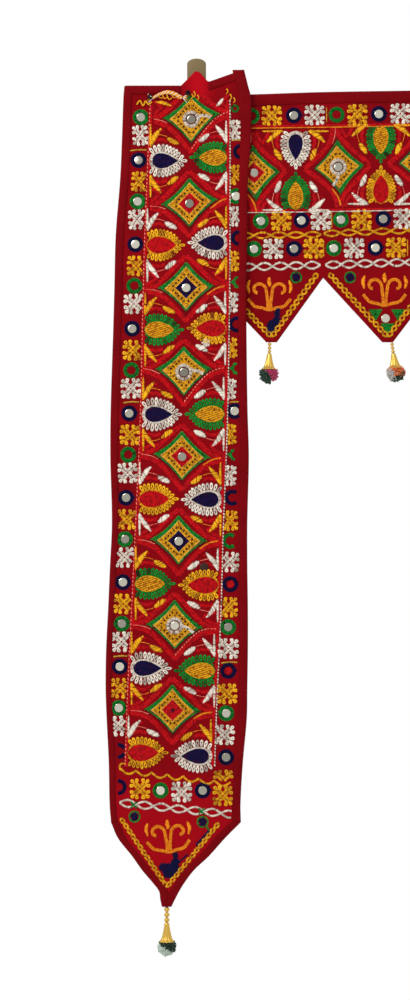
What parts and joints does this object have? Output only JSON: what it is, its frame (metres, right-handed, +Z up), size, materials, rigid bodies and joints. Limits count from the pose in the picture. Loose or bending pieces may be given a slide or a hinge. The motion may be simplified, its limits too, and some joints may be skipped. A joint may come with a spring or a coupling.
{
  "type": "embroidered toran door hanging with wall hook",
  "caption": "Embroidered, mirrored door hanging: a long pointed side panel over a flagged valance, with tassels, on a plain wall hook.",
  "frame": {"origin": "middle of the hook plate's flat back face, on the wall", "axes": "+Z up, +Y into the wall, so the embroidered front faces -Y; +X to the right seen from the front"},
  "size_m": [0.3798, 0.0305, 1.0163],
  "materials": {
    "ground_cloth": "plain woven cotton, thickly embroidered",
    "binding_cloth": "plain woven cotton",
    "tape": "woven tape",
    "thread": "embroidery thread with a soft sheen",
    "yarn": "fluffy wool yarn",
    "brass": "gilt, lightly worn",
    "mirror": "silvered glass, slightly dull",
    "hook": "satin paint"
  },
  "bodies": {
    "root": {"wall_hook": "hook", "valance": "ground_cloth", "valance_heading": "binding_cloth", "valance_end_binding": "binding_cloth", "valance_loop": "tape", "side_panel": "ground_cloth", "binding_left": "binding_cloth", "binding_right": "binding_cloth", "binding_top_left": "binding_cloth", "binding_top_right": "binding_cloth", "binding_point_left": "binding_cloth", "binding_point_right": "binding_cloth", "hanging_loop": "tape", "twisted_trim": "thread", "mirror_diamond_1": "mirror", "mirror_diamond_2": "mirror", "mirror_diamond_3": "mirror", "mirror_diamond_5": "mirror", "mirror_diamond_6": "mirror", "mirror_diamond_7": "mirror", "mirror_left_green_1": "mirror", "mirror_left_green_2": "mirror", "mirror_left_green_6": "mirror", "mirror_left_green_7": "mirror", "mirror_left_green_8": "mirror", "mirror_left_navy_1": "mirror", "mirror_left_navy_2": "mirror", "mirror_left_navy_3": "mirror", "mirror_left_navy_4": "mirror", "mirror_left_navy_5": "mirror", "mirror_left_navy_6": "mirror", "mirror_left_navy_7": "mirror", "mirror_right_green_1": "mirror", "mirror_right_green_6": "mirror", "mirror_right_green_7": "mirror", "mirror_right_navy_4": "mirror", "mirror_right_navy_8": "mirror", "mirror_foot_green": "mirror", "mirror_foot_navy": "mirror", "mirror_valance_diamond_1": "mirror", "mirror_valance_diamond_2": "mirror", "mirror_valance_flag_2": "mirror", "bead_side_1": "brass", "bead_side_2": "brass", "bead_side_3": "brass", "bell_side": "brass", "pompom_side": "yarn", "bead_flag_1_1": "brass", "bead_flag_1_2": "brass", "bead_flag_1_3": "brass", "bell_flag_1": "brass", "pompom_flag_1": "yarn", "bead_flag_2_1": "brass", "bead_flag_2_2": "brass", "bead_flag_2_3": "brass", "bell_flag_2": "brass", "pompom_flag_2": "yarn"}
  },
  "joints": []
}
